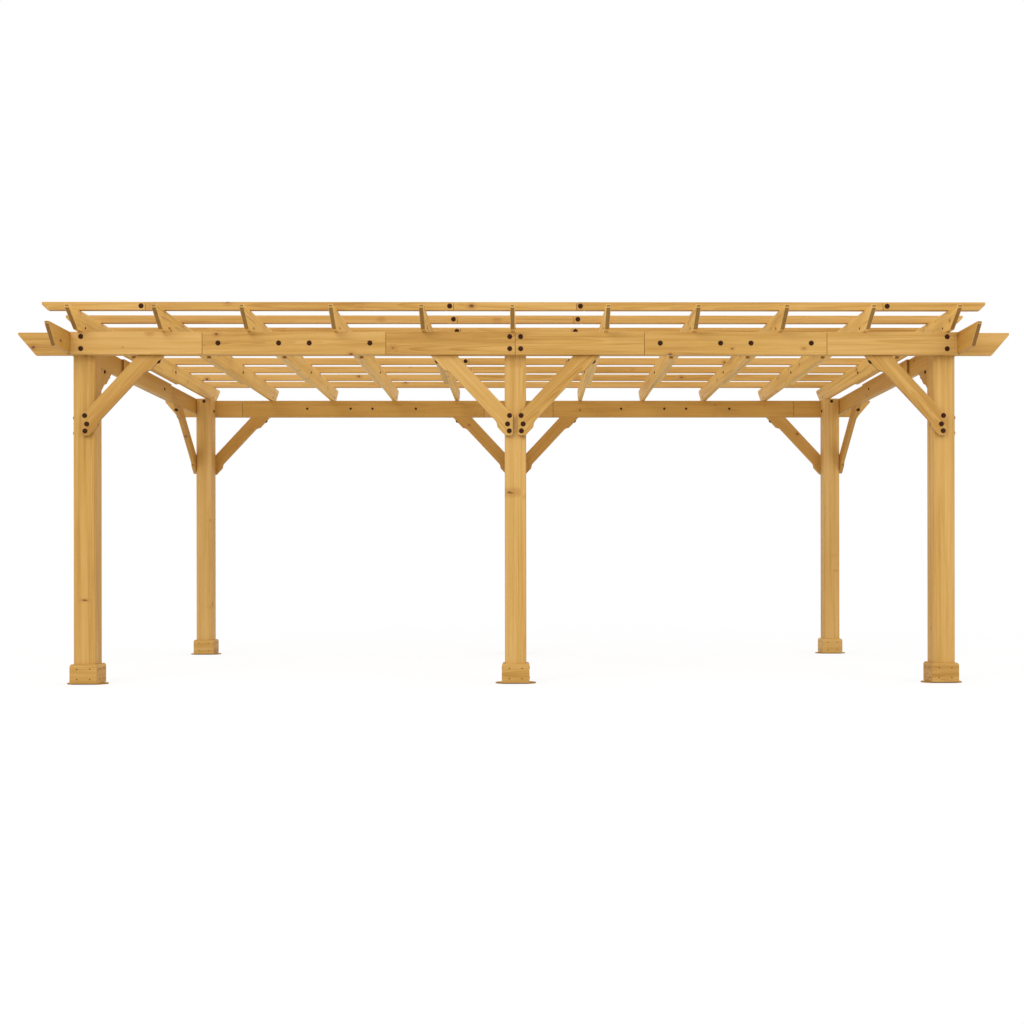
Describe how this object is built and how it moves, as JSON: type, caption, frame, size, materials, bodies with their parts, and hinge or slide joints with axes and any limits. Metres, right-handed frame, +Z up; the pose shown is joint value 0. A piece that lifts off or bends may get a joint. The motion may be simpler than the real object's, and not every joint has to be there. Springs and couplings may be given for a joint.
{
  "type": "wooden pergola",
  "caption": "Free-standing timber pergola: posts, beams with sloping tails, knee braces, and open rafters and purlins overhead.",
  "frame": {"origin": "on the ground at the centre of the plan", "axes": "+X along the length, +Y from front to back, +Z up"},
  "size_m": [6.2, 3.884, 2.375],
  "materials": {
    "post_timber": "satin",
    "skirt_timber": "satin",
    "beam_timber": "satin",
    "brace_timber": "satin",
    "rafter_timber": "satin",
    "purlin_timber": "satin",
    "plate_steel": "satin",
    "bolt_steel": "satin",
    "screw_steel": "satin"
  },
  "bodies": {
    "root": {"post_front_left": "post_timber", "post_front_middle": "post_timber", "post_front_right": "post_timber", "post_back_left": "post_timber", "post_back_middle": "post_timber", "post_back_right": "post_timber", "skirt_front_left": "skirt_timber", "skirt_front_middle": "skirt_timber", "skirt_front_right": "skirt_timber", "skirt_back_left": "skirt_timber", "skirt_back_middle": "skirt_timber", "skirt_back_right": "skirt_timber", "foot_plates": "plate_steel", "front_beam_outer": "beam_timber", "front_beam_inner": "beam_timber", "back_beam_outer": "beam_timber", "back_beam_inner": "beam_timber", "left_beam": "beam_timber", "left_beam_splice": "beam_timber", "right_beam": "beam_timber", "right_beam_splice": "beam_timber", "front_braces": "brace_timber", "back_braces": "brace_timber", "left_braces": "brace_timber", "right_braces": "brace_timber", "rafter_1": "rafter_timber", "rafter_2": "rafter_timber", "rafter_3": "rafter_timber", "rafter_4": "rafter_timber", "rafter_5": "rafter_timber", "rafter_6": "rafter_timber", "rafter_7": "rafter_timber", "rafter_8": "rafter_timber", "rafter_9": "rafter_timber", "rafter_10": "rafter_timber", "rafter_11": "rafter_timber", "purlin_1": "purlin_timber", "purlin_2": "purlin_timber", "purlin_3": "purlin_timber", "purlin_4": "purlin_timber", "purlin_5": "purlin_timber", "purlin_6": "purlin_timber", "purlin_7": "purlin_timber", "purlin_8": "purlin_timber", "purlin_9": "purlin_timber"}
  },
  "joints": []
}
